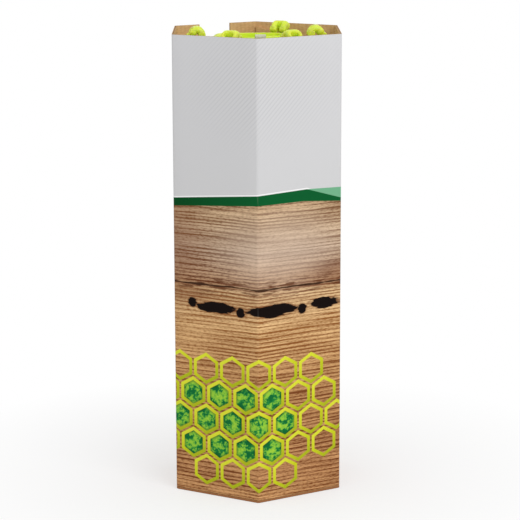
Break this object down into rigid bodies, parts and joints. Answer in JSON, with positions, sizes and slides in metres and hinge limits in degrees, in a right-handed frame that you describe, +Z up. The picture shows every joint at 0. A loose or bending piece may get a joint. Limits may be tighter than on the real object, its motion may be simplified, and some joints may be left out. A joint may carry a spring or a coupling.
{
  "type": "carpenter bee trap",
  "caption": "Six-sided sticky bee trap with end caps and a lattice bird guard, standing in an open-topped hexagonal printed carton that stick and guard lift out of.",
  "frame": {"origin": "middle of the underside of the carton's base panel", "axes": "+Z up along the carton, -Y toward the corner that faces the viewer, +X to the viewer's right"},
  "size_m": [0.1094, 0.1256, 0.308],
  "materials": {
    "printed_board": "satin",
    "kraft_board": "matte",
    "tube_board": "matte",
    "adhesive_film": "gloss",
    "release_paper": "satin",
    "cap_plastic": "satin",
    "guard_plastic": "satin"
  },
  "bodies": {
    "carton": {"carton_sleeve": "printed_board", "carton_glue_flap": "kraft_board", "carton_base_panel": "kraft_board", "carton_dust_flap_1": "kraft_board", "carton_dust_flap_2": "kraft_board", "carton_dust_flap_3": "kraft_board", "carton_dust_flap_4": "kraft_board", "carton_dust_flap_5": "kraft_board"},
    "stick": {"stick_tube": "tube_board", "adhesive_film": "adhesive_film", "release_liner": "release_paper", "liner_pull_tab": "release_paper", "top_cap": "cap_plastic", "bottom_cap": "cap_plastic"},
    "guard": {"guard_half_rear": "guard_plastic", "guard_half_front": "guard_plastic"}
  },
  "joints": [
    {"name": "stick_lift", "type": "slide", "parent": "carton", "child": "stick", "axis": [0, 0, 1], "range_m": [0, 0.31]},
    {"name": "guard_lift", "type": "slide", "parent": "carton", "child": "guard", "axis": [0, 0, 1], "range_m": [0, 0.31]}
  ]
}
